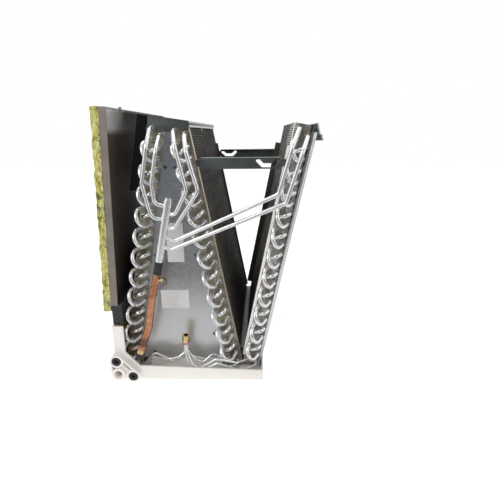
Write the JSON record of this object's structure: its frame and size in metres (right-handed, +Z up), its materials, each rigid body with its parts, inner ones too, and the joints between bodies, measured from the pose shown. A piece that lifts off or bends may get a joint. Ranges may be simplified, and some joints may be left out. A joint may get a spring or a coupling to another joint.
{
  "type": "evaporator coil",
  "caption": "Cased evaporator coil: finned slabs leaning in an N over a plastic condensate pan, with suction header, distributor and an insulated side panel.",
  "frame": {"origin": "middle of the bounding box, at the underside of the drain pan", "axes": "+X to the right as seen from the pipe end, +Y away from the pipe end along the slabs, +Z up"},
  "size_m": [0.5256, 0.594, 0.6595],
  "materials": {
    "fins": "fine dark ribbed",
    "coil_tubes": "bright drawn",
    "alu_tubes": "bright drawn",
    "tube_sheets": "satin galvanised with a warm tint",
    "galvanised_plate": "spangled galvanised",
    "dark_sheet": "satin",
    "bright_sheet": "satin",
    "pan_plastic": "moulded satin",
    "liner": "dull",
    "black_plastic": "dull",
    "black_sheet": "matte",
    "foam": "rough",
    "casing_sheet": "gloss",
    "insulation": "fibrous",
    "copper": "satin copper",
    "brass": "turned",
    "distributor_metal": "turned",
    "marker_ring": "dull",
    "label_stock": "paper",
    "dark_screws": "satin"
  },
  "bodies": {
    "root": {"drain_pan": "pan_plastic", "pan_liner": "liner", "drain_plugs": "black_plastic", "side_panel": "casing_sheet", "side_insulation": "insulation", "foam_strip": "foam", "left_fins": "fins", "middle_fins": "fins", "right_fins": "fins", "left_hairpins": "coil_tubes", "middle_hairpins": "coil_tubes", "right_hairpins": "coil_tubes", "left_long_bends": "coil_tubes", "middle_long_bends": "coil_tubes", "right_long_bends": "coil_tubes", "left_short_bends": "coil_tubes", "middle_short_bends": "coil_tubes", "right_short_bends": "coil_tubes", "left_front_sheet": "tube_sheets", "middle_front_sheet": "tube_sheets", "right_front_sheet": "tube_sheets", "left_rear_sheet": "tube_sheets", "middle_rear_sheet": "tube_sheets", "right_rear_sheet": "tube_sheets", "front_plate": "galvanised_plate", "rear_plate": "galvanised_plate", "top_cap": "dark_sheet", "baffle": "black_sheet", "top_rail": "bright_sheet", "hook_flashing": "bright_sheet", "right_channel": "bright_sheet", "front_bracket": "dark_sheet", "rear_bracket": "dark_sheet", "valley_strip": "bright_sheet", "valley_foam": "foam", "suction_header": "alu_tubes", "feeder_1": "alu_tubes", "feeder_2": "alu_tubes", "feeder_3": "alu_tubes", "feeder_4": "alu_tubes", "feeder_5": "alu_tubes", "feeder_6": "alu_tubes", "shrink_sleeve": "black_plastic", "suction_tube": "copper", "suction_coupling": "copper", "service_port": "brass", "port_strap": "black_plastic", "suction_ring": "brass", "suction_cap": "black_plastic", "distributor_body": "distributor_metal", "distributor_nut": "brass", "distributor_ring": "marker_ring", "distributor_tubes": "alu_tubes", "tube_clip": "bright_sheet", "labels": "label_stock", "screws": "dark_screws"}
  },
  "joints": []
}
